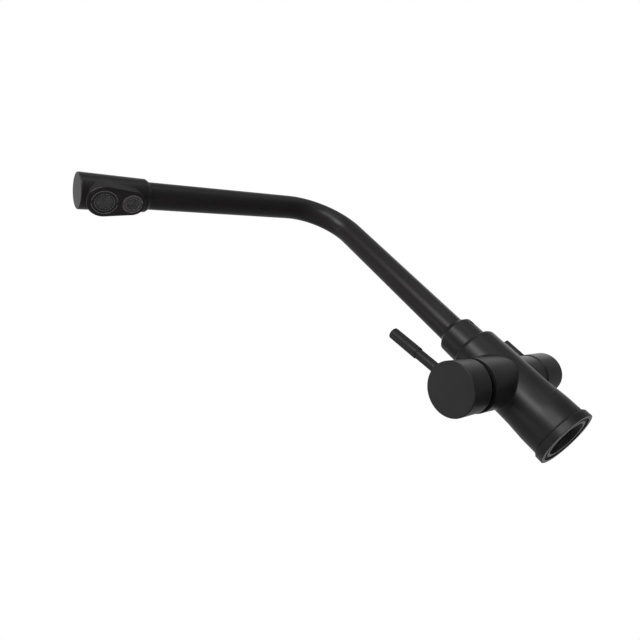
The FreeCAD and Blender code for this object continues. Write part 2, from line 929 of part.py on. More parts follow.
def mixer_cap():
    shell = turned([
        (cap_cavity_radius, 0),
        (cap_rear_radius, 0),
        (cap_rear_radius, mixer_branch_end),
        (cap_radius, cap_face, cap_edge_round),
        (0, cap_face),
        (0, cap_boss_start),
        (cap_boss_radius, cap_boss_start, 0.4),
        (cap_boss_radius, cap_cavity_end, 0.6),
        (cap_cavity_radius, cap_cavity_end, 0.6),
    ])
    stem_socket = bar(stem_half, stem_half, 0, stem_end + stem_socket_play)
    outside = cap_radius + overcut
    lever_foot = lever_stud_start - drill_runout
    lever_hole = sideways_rod(lever_stud_radius, lever_foot, outside, (1, 0), lever_distance)
    lever_recess = sideways_rod(lever_rod_radius, lever_seat, outside, (1, 0), lever_distance)
    boss_side = cap_boss_radius + overcut
    screw_hole = sideways_rod(cap_screw_radius, stem_half, boss_side, (0, 1), cap_screw_distance)
    key_hole = sideways_rod(cap_screw_radius, boss_side, outside, (0, 1), cap_screw_distance)
    cuts = [cap_rear_cut(), stem_socket, lever_hole, lever_recess, screw_hole, key_hole]
    return mixer_side(shell.cut(cuts), handle_rest_turn)


def grub_screw(radius, start, end):
    """Headless socket screw along Z with a hexagonal key recess at its outer end."""
    screw = turned([(0, start), (radius, start, 0.3), (radius, end, 0.3), (0, end)])
    return screw.cut(prism(hexagon(radius / 2), end - radius, end + overcut))


def side_screw(radius, start, end, distance, side):
    """Grub screw square to a level valve axis, at a distance along it, towards local +Y or -Y."""
    screw = grub_screw(radius, start, end)
    screw.rotate(Vector(0, 0, 0), Vector(1, 0, 0), -90 * side)
    screw.translate(Vector(0, 0, distance))
    return screw


def cap_grub_screw():
    end = cap_boss_radius - cap_screw_sink
    screw = side_screw(cap_screw_radius, stem_half, end, cap_screw_distance, 1)
    return mixer_side(screw, handle_rest_turn)


def upward(shape, distance):
    """Stands a lever piece, built along Z, on a valve axis: its Z becomes the local +X."""
    placed = shape.copy()
    placed.rotate(Vector(0, 0, 0), Vector(0, 1, 0), 90)
    placed.translate(Vector(0, 0, distance))
    return placed


def lever_rod():
    piece = turned([
        (0, lever_stud_start),
        (lever_stud_radius, lever_stud_start, 0.4),
        (lever_stud_radius, lever_seat),
        (lever_rod_radius, lever_seat),
        (lever_rod_radius, lever_grip_start),
        (lever_spigot_radius, lever_grip_start),
        (lever_spigot_radius, lever_grip_start + lever_spigot_length, 0.4),
        (0, lever_grip_start + lever_spigot_length),
    ])
    return mixer_side(upward(piece, lever_distance), handle_rest_turn)


def lever_grip():
    bore_end = lever_grip_start + lever_spigot_length + drill_runout
    piece = turned([
        (lever_spigot_radius, lever_grip_start),
        (lever_rod_radius, lever_grip_start),
        (lever_grip_radius, lever_grip_start + 2 * lever_edge),
        (lever_grip_radius, lever_tip, lever_edge),
        (0, lever_tip),
        (0, bore_end),
        (lever_spigot_radius, bore_end),
    ])
    return mixer_side(upward(piece, lever_distance), handle_rest_turn)


# Filtered water tap, built along its axis with the lever towards local +X

def filter_window_spots(turn):
    spots = []
    for side in (0, 180):
        angle = math.radians(turn + side)
        spots.append((filter_window_offset * math.cos(angle), filter_window_offset * math.sin(angle)))
    return spots


def seal_end():
    return filter_floor + filter_seal_thickness


def filter_base_seal():
    seal = rod(filter_disc_radius, filter_floor, seal_end())
    return filter_side(seal.cut(rod(filter_seal_bore, filter_floor, seal_end())))


def filter_disc(start, radius, turn):
    end = start + filter_disc_thickness
    holes = [rod(filter_window_radius, start, end, x, y) for x, y in filter_window_spots(turn)]
    return filter_side(rod(radius, start, end).cut(holes))


def filter_fixed_disc():
    return filter_disc(seal_end(), filter_disc_radius, 0)


def filter_moving_start():
    return seal_end() + filter_disc_thickness + disc_film


def filter_moving_disc():
    """Shut at rest: its windows stand a quarter turn from those of the fixed disc."""
    return filter_disc(filter_moving_start(), filter_disc_radius - cartridge_play, 90)


def spindle_flange_start():
    return filter_moving_start() + filter_disc_thickness


def spindle_flange_end():
    return spindle_flange_start() + spindle_flange_thickness


def gallery_start():
    """The water leaves the valve sideways here, into the ring-shaped gallery round its housing."""
    return spindle_flange_start()


def gallery_end():
    return gallery_start() + side_window_height


def filter_headwork():
    """Screwed valve housing with a hexagon, open at the bottom for the discs, with two side windows."""
    bore = filter_disc_radius + cartridge_play
    shaft_bore = spindle_radius + running_play
    cavity_top = spindle_flange_end() + lift_play
    washer_end = filter_branch_end + headwork_washer_thickness
    housing = turned([
        (bore, seal_end()),
        (filter_bore, seal_end()),
        (filter_bore, washer_end),
        (headwork_nose_radius, washer_end),
        (headwork_nose_radius, headwork_nose_end, 0.5),
        (shaft_bore, headwork_nose_end),
        (shaft_bore, cavity_top),
        (bore, cavity_top),
    ])
    windows = bar(filter_bore + overcut, side_window_width / 2, gallery_start(), gallery_end())
    nut = prism(hexagon(hex_half_width), washer_end, hex_end)
    return filter_side(housing.cut(windows).fuse(nut.cut(rod(shaft_bore, washer_end, hex_end))))


def headwork_washer():
    outer = filter_bore + headwork_washer_width
    end = filter_branch_end + headwork_washer_thickness
    return filter_side(turned([
        (filter_bore, filter_branch_end), (outer, filter_branch_end), (outer, end), (filter_bore, end)
    ]))


def spindle_ring_floor():
    return spindle_radius + running_play / 2 - spindle_ring_section


def spindle_tail(radius, flat, low, high):
    """Round bar with one flat towards local -Y."""
    flat_cut = Part.makeBox(2 * radius, radius, high - low, Vector(-radius, -flat - radius, low))
    return rod(radius, low, high).cut(flat_cut)


def filter_spindle():
    """Spindle with a cross slot under its flange that leads the water to the side windows."""
    half_ring = spindle_ring_section / 2 + ring_groove_play
    grooves = [(place, half_ring, spindle_ring_floor()) for place in spindle_ring_places]
    flange_radius = filter_disc_radius - cartridge_play
    shaft = turned(
        [(0, spindle_flange_start()), (flange_radius, spindle_flange_start())]
        + [(flange_radius, spindle_flange_end()), (spindle_radius, spindle_flange_end())]
        + grooves_up(spindle_radius, grooves)
        + [(spindle_radius, spindle_tail_start), (0, spindle_tail_start)]
    )
    tail = spindle_tail(spindle_tail_radius, spindle_flat, spindle_tail_start, spindle_end)
    groove_end = clip_start + clip_thickness
    groove = rod(spindle_radius, clip_start, groove_end)
    groove = groove.cut(rod(clip_groove_radius, clip_start, groove_end))
    slot = bar(filter_window_radius, flange_radius + overcut, gallery_start() - drilled, gallery_end())
    return filter_side(shaft.fuse(tail).cut([groove, slot]))


def spindle_o_rings():
    middle = spindle_ring_floor() + spindle_ring_section / 2
    rings = [filter_side(round_ring(middle, spindle_ring_section, place)) for place in spindle_ring_places]
    return Part.makeCompound(rings)


def spindle_clip():
    """Open retaining ring in the spindle's groove."""
    end = clip_start + clip_thickness
    ring = rod(clip_radius, clip_start, end).cut(rod(clip_groove_radius, clip_start, end))
    opening = Part.makeBox(clip_radius, 2 * clip_gap, clip_thickness, Vector(0, -clip_gap, clip_start))
    return filter_side(ring.cut(opening))


def filter_knob():
    shell = turned([
        (knob_radius - knob_wall, knob_rear),
        (knob_radius, knob_rear, knob_edge_round),
        (knob_radius, knob_face, knob_edge_round),
        (0, knob_face),
        (0, knob_cavity_end),
        (knob_radius - knob_wall, knob_cavity_end, 0.8),
    ])
    socket_end = spindle_end + drill_runout
    socket = spindle_tail(spindle_tail_radius, spindle_flat, knob_cavity_end - overcut, socket_end)
    outside = knob_radius + overcut
    screw_foot = spindle_flat - drill_runout
    screw_hole = sideways_rod(knob_screw_radius, screw_foot, outside, (0, -1), knob_screw_distance)
    lever_foot = filter_lever_stud_start - drill_runout
    lever_hole = sideways_rod(filter_lever_stud_radius, lever_foot, outside, (1, 0), filter_lever_distance)
    recess = sideways_rod(filter_lever_radius, filter_lever_seat, outside, (1, 0), filter_lever_distance)
    return filter_side(shell.cut([socket, screw_hole, lever_hole, recess]))


def knob_grub_screw():
    end = spindle_flat + knob_screw_length
    return filter_side(side_screw(knob_screw_radius, spindle_flat, end, knob_screw_distance, -1))


def filter_lever():
    piece = turned([
        (0, filter_lever_stud_start),
        (filter_lever_stud_radius, filter_lever_stud_start, 0.3),
        (filter_lever_stud_radius, filter_lever_seat),
        (filter_lever_radius, filter_lever_seat),
        (filter_lever_radius, filter_lever_tip, lever_edge),
        (0, filter_lever_tip),
    ])
    return filter_side(upward(piece, filter_lever_distance))


def all_pieces():
    """Every node of the faucet by name."""
    main = (main_outlet_x, main_flange_radius, main_thread_radius, main_insert_radius)
    filtered = (filter_outlet_x, filter_flange_radius, filter_thread_radius, filter_insert_radius)
    pieces = {
        "main_aerator_ring": aerator_ring(*main),
        "main_aerator_insert": aerator_insert(main_outlet_x, main_insert_radius),
        "main_aerator_washer": aerator_washer(main_outlet_x, main_thread_radius, main_passage_radius),
        "filter_aerator_ring": aerator_ring(*filtered),
        "filter_aerator_insert": aerator_insert(filter_outlet_x, filter_insert_radius),
        "filter_aerator_washer": aerator_washer(
            filter_outlet_x, filter_thread_radius, filter_passage_radius
        ),
    }
    makers = [
        mixer_body, base_ring, base_gasket,
        spout_spigot, spigot_o_rings, slip_ring, filter_nipple, nipple_o_ring,
        spout_collar, collar_set_screw, spout_tube, filtered_water_tube, spout_head,
        cartridge_seals, cartridge_base, fixed_disc, cartridge_shell, cartridge_nut,
        moving_disc, disc_carrier, cartridge_rotor, pivot_pin, cartridge_stem,
        mixer_cap, cap_grub_screw, lever_rod, lever_grip,
        filter_base_seal, filter_fixed_disc, filter_moving_disc, filter_headwork, headwork_washer,
        filter_spindle, spindle_o_rings, spindle_clip, filter_knob, knob_grub_screw, filter_lever,
    ]
    for maker in makers:
        pieces[maker.__name__] = maker()
    return pieces


os.makedirs("parts", exist_ok=True)
for name, shape in all_pieces().items():
    shape.exportStep("parts/" + name + ".step")
    print(name, "solids", len(shape.Solids), "valid", shape.isValid(), "volume", round(shape.Volume, 1))
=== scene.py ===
import json
import math

import bmesh
import bpy
import numpy as np
from mathutils import Matrix, Vector


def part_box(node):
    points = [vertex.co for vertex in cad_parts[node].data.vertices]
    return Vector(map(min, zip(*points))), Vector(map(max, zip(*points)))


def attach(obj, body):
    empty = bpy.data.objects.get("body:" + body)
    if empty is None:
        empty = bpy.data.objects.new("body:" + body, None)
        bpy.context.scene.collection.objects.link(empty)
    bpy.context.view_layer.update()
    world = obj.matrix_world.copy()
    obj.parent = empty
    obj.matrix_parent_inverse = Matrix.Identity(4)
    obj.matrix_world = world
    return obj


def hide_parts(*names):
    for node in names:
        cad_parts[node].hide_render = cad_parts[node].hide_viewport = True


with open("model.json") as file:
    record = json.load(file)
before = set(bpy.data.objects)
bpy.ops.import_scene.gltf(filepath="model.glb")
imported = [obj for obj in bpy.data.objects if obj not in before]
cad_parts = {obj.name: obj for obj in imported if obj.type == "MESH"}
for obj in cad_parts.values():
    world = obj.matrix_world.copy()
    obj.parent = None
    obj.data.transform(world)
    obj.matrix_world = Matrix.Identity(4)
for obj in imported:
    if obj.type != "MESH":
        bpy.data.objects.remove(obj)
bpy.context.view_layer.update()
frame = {"nodes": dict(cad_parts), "record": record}
nodes = frame["nodes"]
mm = 0.001               # sizes below are written in millimetres, unless a note says metres
circle = 2 * math.pi


# Camera: the photo is taken from below the worktop plane, looking up past the base

camera = {
    "place": (337.80, 155.75, -59.64),       # from the centre of the base
    "right": (-0.746783, 0.411547, -0.522440),
    "down": (-0.041402, -0.812789, -0.581085),
    "focal": 496.54,                         # pixels of the photo
    "centre": (327.49, 278.10),              # where the line of sight meets the photo
    "photo": 640,                            # pixels across
    "sensor": 36.0,
    "near": 0.01, "far": 50.0,               # metres, what is seen at all
}


def addCamera():
    # right, up and backward are the columns of the camera's matrix
    right = np.array(camera["right"])
    up = -np.array(camera["down"])
    turn = np.column_stack([right, up, np.cross(right, up)])
    data = bpy.data.cameras.new("photoCamera")
    data.sensor_width = camera["sensor"]
    data.lens = camera["focal"] * camera["sensor"] / camera["photo"]
    data.shift_x = 0.5 - camera["centre"][0] / camera["photo"]
    data.shift_y = camera["centre"][1] / camera["photo"] - 0.5
    data.clip_start = camera["near"]
    data.clip_end = camera["far"]
    made = bpy.data.objects.new("photoCamera", data)
    place = Matrix(turn.tolist()).to_4x4()
    place.translation = [value * mm for value in camera["place"]]
    made.matrix_world = place
    bpy.context.scene.collection.objects.link(made)
    bpy.context.scene.camera = made


# Small helpers for materials

def linear(code):
    # sRGB hex to linear light: c / 12.92 below 0.04045, ((c + 0.055) / 1.055) ** 2.4 above
    channels = np.array([int(code[start:start + 2], 16) for start in (1, 3, 5)]) / 255
    curve = np.where(channels <= 0.04045, channels / 12.92, ((channels + 0.055) / 1.055) ** 2.4)
    return (*curve.tolist(), 1.0)


def add(tree, kind, settings=(), links=()):
    # one node: settings are attributes or input values, links are (input, socket that feeds it)
    made = tree.nodes.new("ShaderNode" + kind)
    for key, value in dict(settings).items():
        if isinstance(key, str) and hasattr(made, key):
            setattr(made, key, value)
        else:
            made.inputs[key].default_value = value
    for key, source in links:
        tree.links.new(source, made.inputs[key])
    return made


# A finish has two end colours and two ends of roughness. Its noise patterns are (size, detail), and
# its relief is (pattern, depth), the broadest first. What is the same all over stands under shader.

# Matte black polyester powder coat, sprayed dry and cured in an oven: a soft black that is nearly
# neutral, with a very fine pebbled grain, a faint long-wave peel and a dull sheen at its edges. In
# the hollow of the body a paler grey is painted on, as painted light for the light that reaches in.

coats = {
    "black_body": {
        "name": "matteBlackPowderCoatOnCastBrass", "colours": ("#1a1919", "#201f1f"),
        "noise": {"cloud": (14.0, 3.0), "pebbles": (0.45, 3.0), "peel": (5.0, 2.0)},
        "colourBy": ("cloud", "pebbles"), "roughBy": "pebbles", "rough": (0.34, 0.42),
        "relief": (("peel", 0.010), ("pebbles", 0.003)), "shader": {"Specular IOR Level": 0.05},
        # painted light: these paler greys stand in for the light that reaches into the body's
        # hollow
        "hollow": {"radius": 14.9, "top": 27.9, "colours": ("#4a494a", "#5a585a")},
    },
    "black_spout": {
        "name": "matteBlackPowderCoatOnDrawnBrass", "colours": ("#1a1819", "#201e1f"),
        "noise": {"cloud": (22.0, 3.0), "pebbles": (0.40, 3.0), "peel": (6.0, 2.0)},
        "colourBy": ("cloud", "pebbles"), "roughBy": "pebbles", "rough": (0.34, 0.42),
        "relief": (("peel", 0.006), ("pebbles", 0.0025)), "shader": {"Specular IOR Level": 0.05},
    },
    "black_handle": {
        "name": "matteBlackPowderCoatOnDieCastZinc", "colours": ("#1b1a1a", "#212020"),
        "noise": {"cloud": (12.0, 3.0), "pebbles": (0.38, 3.0), "peel": (4.0, 2.0)},
        "colourBy": ("cloud", "pebbles"), "roughBy": "pebbles", "rough": (0.36, 0.44),
        "relief": (("peel", 0.006), ("pebbles", 0.0012)), "shader": {"Specular IOR Level": 0.05},
    },
}

# Mouldings: black acetal of the screen clamps and slip ring, dark grey acetal of the outlet inserts
# and grey acetal of their crowns, grey nylon thread of the screens, white acetal of the cartridge
# and milky polyethylene of the water tube, all with the faint frosting of a sparked mould

mouldings = {
    "black_aerator": {
        "name": "mouldedBlackAcetal", "colours": ("#0e0d0d", "#151414"),
        "noise": {"cloud": (3.0, 3.0), "frost": (0.30, 2.0)},
        "colourBy": ("cloud",), "roughBy": "frost", "rough": (0.40, 0.50),
        "relief": (("frost", 0.008),), "shader": {"Specular IOR Level": 0.10},
    },
    "grey_screen": {
        "name": "mouldedGreyAcetal", "colours": ("#605d5e", "#6c696a"),
        "noise": {"cloud": (3.0, 3.0), "frost": (0.25, 2.0)},
        "colourBy": ("cloud",), "roughBy": "frost", "rough": (0.36, 0.46),
        "relief": (("frost", 0.006),), "shader": {"Specular IOR Level": 0.20},
    },
    "darkInsert": {
        "name": "mouldedDarkGreyAcetal", "colours": ("#1a1919", "#242323"),
        "noise": {"cloud": (3.0, 3.0), "frost": (0.25, 2.0)},
        "colourBy": ("cloud",), "roughBy": "frost", "rough": (0.40, 0.50),
        "relief": (("frost", 0.006),), "shader": {"Specular IOR Level": 0.10},
    },
    "screenWeave": {
        "name": "wovenGreyNylon", "colours": ("#4c4a4b", "#585657"),
        "noise": {"cloud": (3.0, 3.0), "frost": (0.20, 2.0)},
        "colourBy": ("cloud",), "roughBy": "frost", "rough": (0.40, 0.50),
        "relief": (("frost", 0.003),), "shader": {"Specular IOR Level": 0.20},
    },
    "white_plastic": {
        "name": "mouldedWhiteAcetal", "colours": ("#dedcd6", "#e8e6e1"),
        "noise": {"cloud": (3.0, 3.0), "frost": (0.35, 2.0)},
        "colourBy": ("cloud",), "roughBy": "frost", "rough": (0.32, 0.42),
        "relief": (("frost", 0.006),),
        "shader": {
            "Specular IOR Level": 0.45, "Subsurface Weight": 0.05, "Subsurface Scale": 0.6 * mm,
        },
    },
    "water_tube": {
        "name": "extrudedWhitePolyethylene", "colours": ("#e2e2df", "#ececea"),
        "noise": {"cloud": (3.0, 3.0), "frost": (1.20, 2.0)},
        "colourBy": ("cloud",), "roughBy": "frost", "rough": (0.28, 0.36),
        "relief": (("frost", 0.010),),
        "shader": {
            "Specular IOR Level": 0.45, "Subsurface Weight": 0.10, "Subsurface Scale": 0.6 * mm,
        },
    },
}

# Screw rings of the outlets: black acetal with a painted highlight, a paler grey painted on the
# raised lip where light catches it; the filter ring's face is painted lighter than the main ring's,
# as painted light. The two colours are those of face and lip, and the lip starts its width in from
# the ring's outer edge.

screwRings = {
    "main_aerator_ring": {
        # painted highlight: the second colour is the pale grey painted on the lip
        "name": "mouldedBlackAcetalMainRing", "colours": ("#121111", "#5a5758"),
        "noise": {"frost": (0.30, 2.0)}, "lip": {"width": 0.50, "soft": 0.024},
        "roughBy": "frost", "rough": (0.36, 0.46),
        "relief": (("frost", 0.006),), "shader": {"Specular IOR Level": 0.15},
    },
    "filter_aerator_ring": {
        # painted light: this face is painted lighter than the main ring's face, and the lip is a
        # painted highlight
        "name": "mouldedBlackAcetalFilterRing", "colours": ("#3a3839", "#646162"),
        "noise": {"frost": (0.30, 2.0)}, "lip": {"width": 0.50, "soft": 0.024},
        "roughBy": "frost", "rough": (0.36, 0.46),
        "relief": (("frost", 0.006),), "shader": {"Specular IOR Level": 0.15},
    },
}

# Black nitrile rubber, compression moulded: a deep black that scatters a little dusty light

rubbers = {
    "black_rubber": {
        "name": "mouldedBlackNitrileRubber", "colours": ("#080808", "#0f0e0e"),
        "noise": {"bloom": (1.6, 4.0), "pore": (0.22, 2.0)},
        "colourBy": ("bloom",), "roughBy": "bloom", "rough": (0.58, 0.72),
        "relief": (("pore", 0.010),),
        "shader": {"Specular IOR Level": 0.06, "Sheen Weight": 0.02, "Sheen Roughness": 0.5},
    },
}

# Bare metals: brass and stainless steel turned on a lathe, with fine feed marks, turned brass
# darkened nearly black as painted shade in the gap between cap and body, screw steel that was
# blackened in a bath, and zinc as it leaves the die, with a cloudy flow pattern

metals = {
    "brass": {
        "name": "turnedBareBrass", "colours": ("#b08d4e", "#cfae6c"),
        "noise": {"tarnish": (4.0, 4.0), "marks": (0.22, 3.0)},
        "colourBy": ("tarnish",), "roughBy": "tarnish", "rough": (0.24, 0.36),
        "relief": (("marks", 0.006),), "shader": {"Metallic": 1.0},
    },
    # painted shade: the cartridge nut is darkened to stand in for the shade in the gap between cap
    # and body
    "blackenedBrass": {
        "name": "turnedBrassDarkenedAsGapShade", "colours": ("#141210", "#221e1a"),
        "noise": {"tarnish": (4.0, 4.0), "marks": (0.22, 3.0)},
        "colourBy": ("tarnish",), "roughBy": "tarnish", "rough": (0.34, 0.46),
        "relief": (("marks", 0.004),), "shader": {"Metallic": 1.0},
    },
    "blackenedSteel": {
        "name": "blackOxideScrewSteel", "colours": ("#161616", "#242323"),
        "noise": {"tarnish": (4.0, 4.0), "marks": (0.20, 3.0)},
        "colourBy": ("tarnish",), "roughBy": "tarnish", "rough": (0.38, 0.50),
        "relief": (("marks", 0.003),), "shader": {"Metallic": 1.0},
    },
    "steel": {
        "name": "turnedStainlessSteel", "colours": ("#8d8d90", "#b4b4b6"),
        "noise": {"tarnish": (4.0, 4.0), "marks": (0.18, 3.0)},
        "colourBy": ("tarnish",), "roughBy": "tarnish", "rough": (0.22, 0.34),
        "relief": (("marks", 0.004),), "shader": {"Metallic": 1.0},
    },
    "zinc": {
        "name": "dieCastZinc", "colours": ("#86888b", "#a3a5a8"),
        "noise": {"tarnish": (4.0, 4.0), "marks": (1.10, 3.0)},
        "colourBy": ("tarnish",), "roughBy": "tarnish", "rough": (0.34, 0.48),
        "relief": (("marks", 0.008),), "shader": {"Metallic": 1.0},
    },
}

# Lapped alumina ceramic: dense, ivory white and almost mirror smooth on its working face

ceramics = {
    "ceramic": {
        "name": "lappedAluminaCeramic", "colours": ("#ece9e2", "#f4f2ee"),
        "noise": {"speck": (0.5, 3.0)},
        "colourBy": ("speck",), "roughBy": "speck", "rough": (0.08, 0.18),
        "relief": (("speck", 0.002),), "shader": {"IOR": 1.76},
    },
}

# Nodes whose finish differs from the rest of their slot
ownFinish = {
    # painted shade in the gap between cap and body
    "cartridge_nut": "blackenedBrass",
    "collar_set_screw": "blackenedSteel",
    "cap_grub_screw": "blackenedSteel",
    "knob_grub_screw": "blackenedSteel",
    "slip_ring": "black_aerator",
    "main_aerator_insert": "darkInsert",
    "filter_aerator_insert": "darkInsert",
    "main_aerator_ring": "main_aerator_ring",
    "filter_aerator_ring": "filter_aerator_ring",
}

noiseEnds = (0.3, 0.7)   # most of a noise lies between these, and the end colours fill the rest
mixShare, mixFirst, mixSecond, mixOut = 0, 6, 7, 2      # sockets of a Mix node that mixes colours


def axisDistance(tree, place, middle):
    # distance from the upright axis through middle: the length of place * (1, 1, 0) - (x, y, 0)
    settings = {"operation": "MULTIPLY_ADD", 1: (1, 1, 0), 2: (-middle[0], -middle[1], 0)}
    flat = add(tree, "VectorMath", settings, [(0, place)]).outputs[0]
    return add(tree, "VectorMath", {"operation": "LENGTH"}, [(0, flat)]).outputs["Value"]


def colourShare(tree, place, node, look, noise):
    # 0 at the first colour and 1 at the second: over the middle of the noises' sum, or on a screw
    # ring from one side of the start of its lip's painted highlight to the other
    if "lip" in look:
        middle, _, outer, _, _ = ringOf(node)
        start = outer - look["lip"]["width"] * mm
        soft = look["lip"]["soft"] * mm
        source = axisDistance(tree, place, middle)
        ends = start - soft, start + soft
    else:
        source, *others = [noise[name] for name in look["colourBy"]]
        for other in others:
            source = add(tree, "Math", {"operation": "ADD"}, [(0, source), (1, other)]).outputs[0]
        ends = [end * len(look["colourBy"]) for end in noiseEnds]
    settings = {"From Min": ends[0], "From Max": ends[1]}
    return add(tree, "MapRange", settings, [("Value", source)]).outputs["Result"]


def hollowColour(tree, place, share, colour, hollow):
    # painted light: a paler grey within a radius of the upright axis and below the top, standing in
    # for the light in the body's hollow, else the full coat
    away = axisDistance(tree, place, (0, 0))
    level = add(tree, "SeparateXYZ", {}, [(0, place)]).outputs["Z"]
    near = add(tree, "Math", {"operation": "LESS_THAN", 1: hollow["radius"] * mm}, [(0, away)])
    under = add(tree, "Math", {"operation": "LESS_THAN", 1: hollow["top"] * mm}, [(0, level)])
    links = [(0, near.outputs[0]), (1, under.outputs[0])]
    inside = add(tree, "Math", {"operation": "MULTIPLY"}, links).outputs[0]
    low, high = [linear(code) for code in hollow["colours"]]
    ends = {"data_type": "RGBA", mixFirst: low, mixSecond: high}
    paintedLight = add(tree, "Mix", ends, [(mixShare, share)]).outputs[mixOut]
    links = [(mixShare, inside), (mixFirst, colour), (mixSecond, paintedLight)]
    return add(tree, "Mix", {"data_type": "RGBA"}, links).outputs[mixOut]


def makeMaterial(node, look):
    # the noise patterns first, then the colour, the roughness and the relief that follow them
    material = bpy.data.materials.new(look["name"])
    material.use_nodes = True
    tree = material.node_tree
    tree.nodes.clear()
    place = add(tree, "TexCoord").outputs["Object"]
    noise = {}
    for name, (size, detail) in look["noise"].items():
        settings = {"Scale": 1 / (size * mm), "Detail": detail}
        noise[name] = add(tree, "TexNoise", settings, [("Vector", place)]).outputs["Fac"]
    share = colourShare(tree, place, node, look, noise)
    low, high = [linear(code) for code in look["colours"]]
    ends = {"data_type": "RGBA", mixFirst: low, mixSecond: high}
    colour = add(tree, "Mix", ends, [(mixShare, share)]).outputs[mixOut]
    # painted light inside the body's hollow
    if "hollow" in look:
        colour = hollowColour(tree, place, share, colour, look["hollow"])
    ends = {"To Min": look["rough"][0], "To Max": look["rough"][1]}
    rough = add(tree, "MapRange", ends, [("Value", noise[look["roughBy"]])]).outputs["Result"]
    relief = []
    for name, depth in look["relief"]:
        bump = add(tree, "Bump", {"Distance": depth * mm}, [("Height", noise[name]), *relief])
        relief = [("Normal", bump.outputs["Normal"])]
    links = [("Base Color", colour), ("Roughness", rough), *relief]
    shader = add(tree, "BsdfPrincipled", look["shader"], links)
    add(tree, "OutputMaterial", {}, [("Surface", shader.outputs[0])])
    return material


def makeMaterials():
    # every finish by its key: a slot, a screw ring's node or a name that ownFinish or a piece gives
    groups = coats, mouldings, screwRings, rubbers, metals, ceramics
    return {key: makeMaterial(key, look) for group in groups for key, look in group.items()}


def dressNodes(materials):
    # each node takes the finish of its slot, or its own
    for part in frame["record"]["subparts"]:
        mesh = nodes[part["node"]].data
        mesh.materials.clear()
        mesh.materials.append(materials[ownFinish.get(part["node"], part["material_slot"])])


# New pieces are grids of points worked out as whole arrays and joined into quads

def gridMesh(name, points, loop=False, ring=True):
    # points[..., along, across, xyz] in metres: a quad joins (i, j), (i + 1, j), (i + 1, j + 1) and
    # (i, j + 1), loop closes the grid along and ring closes it across
    strips, along, across = points.reshape(-1, *points.shape[-3:]).shape[:3]
    index = np.arange(strips * along * across).reshape(strips, along, across)
    onward = np.roll(index, -1, 1)
    corners = [index, onward, np.roll(onward, -1, 2), np.roll(index, -1, 2)]
    if not loop:
        corners = [corner[:, :-1] for corner in corners]
    if not ring:
        corners = [corner[:, :, :-1] for corner in corners]
    quads = np.stack(corners, -1).reshape(-1, 4)
    mesh = bpy.data.meshes.new(name)
    mesh.vertices.add(points.size // 3)
    mesh.vertices.foreach_set("co", points.astype(np.float32).ravel())
    mesh.loops.add(quads.size)
    mesh.loops.foreach_set("vertex_index", quads.ravel())
    mesh.polygons.add(len(quads))
    mesh.polygons.foreach_set("loop_start", np.arange(0, quads.size, 4))
    mesh.update(calc_edges=True)
    return mesh


sameSpot = 1e-8          # metres, points nearer than this become one


def addPiece(mesh, body, slot, materials, finish=None):
    # fills open tube ends, turns every face outwards, then lets the piece ride on its body
    work = bmesh.new()
    work.from_mesh(mesh)
    bmesh.ops.remove_doubles(work, verts=work.verts, dist=sameSpot)
    bmesh.ops.holes_fill(work, edges=work.edges, sides=0)
    bmesh.ops.recalc_face_normals(work, faces=work.faces)
    work.to_mesh(mesh)
    work.free()
    mesh.polygons.foreach_set("use_smooth", np.ones(len(mesh.polygons), bool))
    mesh.materials.append(materials[finish or slot])
    made = bpy.data.objects.new(mesh.name, mesh)
    bpy.context.scene.collection.objects.link(made)
    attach(made, body)
    return made


def ringOf(node):
    # centre, inner and outer radius, lowest and highest level of an upright ring among the nodes
    corners = np.empty(len(nodes[node].data.vertices) * 3, np.float32)
    nodes[node].data.vertices.foreach_get("co", corners)
    corners = corners.reshape(-1, 3).astype(float)
    middle = (corners.min(0) + corners.max(0)) / 2
    reach = np.hypot(corners[:, 0] - middle[0], corners[:, 1] - middle[1])
    return middle, reach.min(), reach.max(), corners[:, 2].min(), corners[:, 2].max()


def angles(count, axis):
    # evenly round the circle, laid along the given axis of a two-way grid
    return np.expand_dims(np.linspace(0, circle, count, endpoint=False), 1 - axis)


def roundedSection(section, inner, outer, low, high, square):
    # rounded box: radius = middle + half width * cos ** (2 / square), height = middle + half height
    # * sin ** (2 / square), where the powers keep the sign
    cos, sin = np.cos(section), np.sin(section)
    radius = (inner + outer) / 2 + (outer - inner) / 2 * np.sign(cos) * np.abs(cos) ** (2 / square)
    height = (low + high) / 2 + (high - low) / 2 * np.sign(sin) * np.abs(sin) ** (2 / square)
    return radius, height


def around(middle, turn, radius, height):
    # points (x + radius * cos(turn), y + radius * sin(turn), height)
    return np.stack(np.broadcast_arrays(
        middle[0] + radius * np.cos(turn), middle[1] + radius * np.sin(turn), height
    ), -1)


# Base gasket: a rounded rubber ring with sealing beads round its underside

gasket = {"beads": 2, "bead": 0.35, "sunk": 0.4, "square": 4.0, "turns": 160, "section": 96}


def addGasket(materials):
    # a rounded section whose underside drops by bead * (1 - cos(circle * beads * across)) / 2,
    # where across runs from 0 at the inner edge to 1 at the outer one
    middle, inner, outer, low, high = ringOf("base_gasket")
    turn, section = angles(gasket["turns"], 0), angles(gasket["section"], 1)
    bead = gasket["bead"] * mm
    floor = low + gasket["sunk"] * mm + bead
    radius, height = roundedSection(section, inner, outer, floor, high, gasket["square"])
    across = (radius - inner) / (outer - inner)
    ripple = (1 - np.cos(circle * gasket["beads"] * across)) / 2
    height = height - bead * ripple * (np.sin(section) < 0)
    mesh = gridMesh("beadedBaseGasket", around(middle, turn, radius, height), loop=True)
    made = addPiece(mesh, "root", "black_rubber", materials)
    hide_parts("base_gasket")
